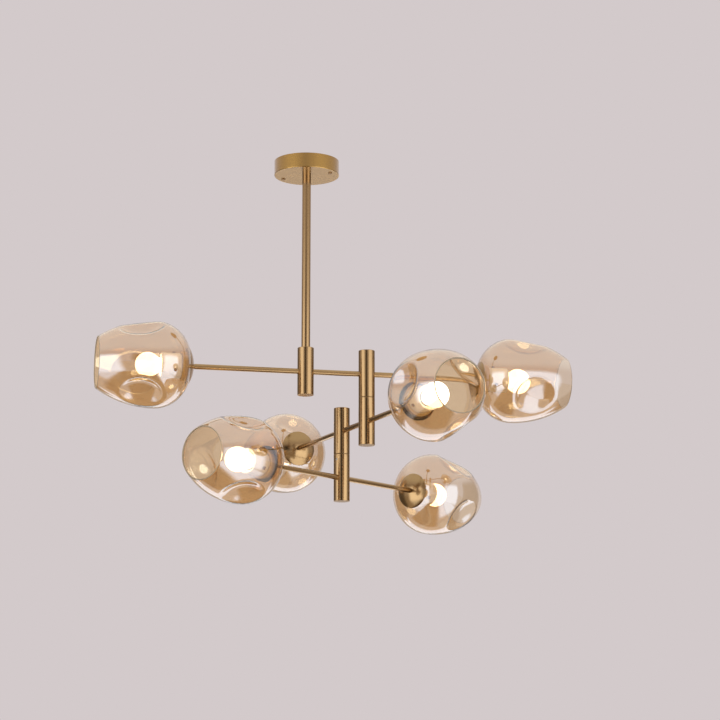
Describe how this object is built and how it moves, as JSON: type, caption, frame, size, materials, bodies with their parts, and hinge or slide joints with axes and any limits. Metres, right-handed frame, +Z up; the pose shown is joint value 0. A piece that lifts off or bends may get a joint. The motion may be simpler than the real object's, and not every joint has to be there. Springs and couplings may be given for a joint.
{
  "type": "globe chandelier",
  "caption": "Ceiling chandelier with a round canopy, a straight stem and stacked swivelling arms that end in dimpled amber glass globes with bulbs.",
  "frame": {"origin": "on the stem's axis, in the plane where the canopy and its mounting bar meet the ceiling", "axes": "+Z up into the ceiling, +X along the top arm towards the hub that carries the middle arm"},
  "size_m": [0.8742, 0.8758, 0.6513],
  "materials": {
    "satin_brass": "brushed, satin",
    "amber_glass": "clear champagne-tinted blown glass, with pressed dimples",
    "bulb_glass": "frosted, lit",
    "white_porcelain": "glazed",
    "white_plastic": "moulded",
    "cable_sheath": "smooth",
    "plated_steel": "zinc plated",
    "contact_metal": "nickel plated"
  },
  "bodies": {
    "top_frame": {"mounting_bar": "plated_steel", "ceiling_canopy": "satin_brass", "canopy_screws": "satin_brass", "terminal_block": "white_plastic", "stem_tube": "satin_brass", "stem_nipples": "plated_steel", "stem_nuts": "plated_steel", "stem_hub": "satin_brass", "stem_hub_plug": "satin_brass", "upper_hub_top": "satin_brass", "upper_hub_pivot": "plated_steel", "top_arm_dome_caps": "satin_brass", "top_arm_lampholders": "white_porcelain", "top_arm_ring_nuts": "satin_brass", "top_arm_sleeves": "white_porcelain", "top_arm_sleeve_screws": "satin_brass", "top_arm_socket_contacts": "contact_metal", "top_arm_bulb_bases": "contact_metal", "top_arm_tubes": "satin_brass", "top_arm_wiring": "cable_sheath", "top_left_glass_shade": "amber_glass", "top_left_bulb_glass": "bulb_glass", "top_right_glass_shade": "amber_glass", "top_right_bulb_glass": "bulb_glass"},
    "middle_arm": {"upper_hub_swivel": "satin_brass", "upper_hub_grub_screw": "plated_steel", "upper_hub_plug": "satin_brass", "lower_hub_top": "satin_brass", "lower_hub_pivot": "plated_steel", "middle_arm_dome_caps": "satin_brass", "middle_arm_lampholders": "white_porcelain", "middle_arm_ring_nuts": "satin_brass", "middle_arm_sleeves": "white_porcelain", "middle_arm_sleeve_screws": "satin_brass", "middle_arm_socket_contacts": "contact_metal", "middle_arm_bulb_bases": "contact_metal", "middle_arm_tubes": "satin_brass", "middle_arm_wiring": "cable_sheath", "middle_front_glass_shade": "amber_glass", "middle_front_bulb_glass": "bulb_glass", "middle_back_glass_shade": "amber_glass", "middle_back_bulb_glass": "bulb_glass"},
    "bottom_arm": {"lower_hub_swivel": "satin_brass", "lower_hub_grub_screw": "plated_steel", "lower_hub_plug": "satin_brass", "bottom_arm_dome_caps": "satin_brass", "bottom_arm_lampholders": "white_porcelain", "bottom_arm_ring_nuts": "satin_brass", "bottom_arm_sleeves": "white_porcelain", "bottom_arm_sleeve_screws": "satin_brass", "bottom_arm_socket_contacts": "contact_metal", "bottom_arm_bulb_bases": "contact_metal", "bottom_arm_tubes": "satin_brass", "bottom_arm_wiring": "cable_sheath", "bottom_front_glass_shade": "amber_glass", "bottom_front_bulb_glass": "bulb_glass", "bottom_back_glass_shade": "amber_glass", "bottom_back_bulb_glass": "bulb_glass"}
  },
  "joints": [
    {"name": "middle_arm_swivel", "type": "hinge", "parent": "top_frame", "child": "middle_arm", "pos_m": [0.114, 0, -0.4408], "axis": [0, 0, 1], "range_deg": [-82, 48]},
    {"name": "bottom_arm_swivel", "type": "hinge", "parent": "middle_arm", "child": "bottom_arm", "pos_m": [0.09225, 0.11191, -0.5288], "axis": [0, 0, 1], "range_deg": [-86, 32]}
  ]
}
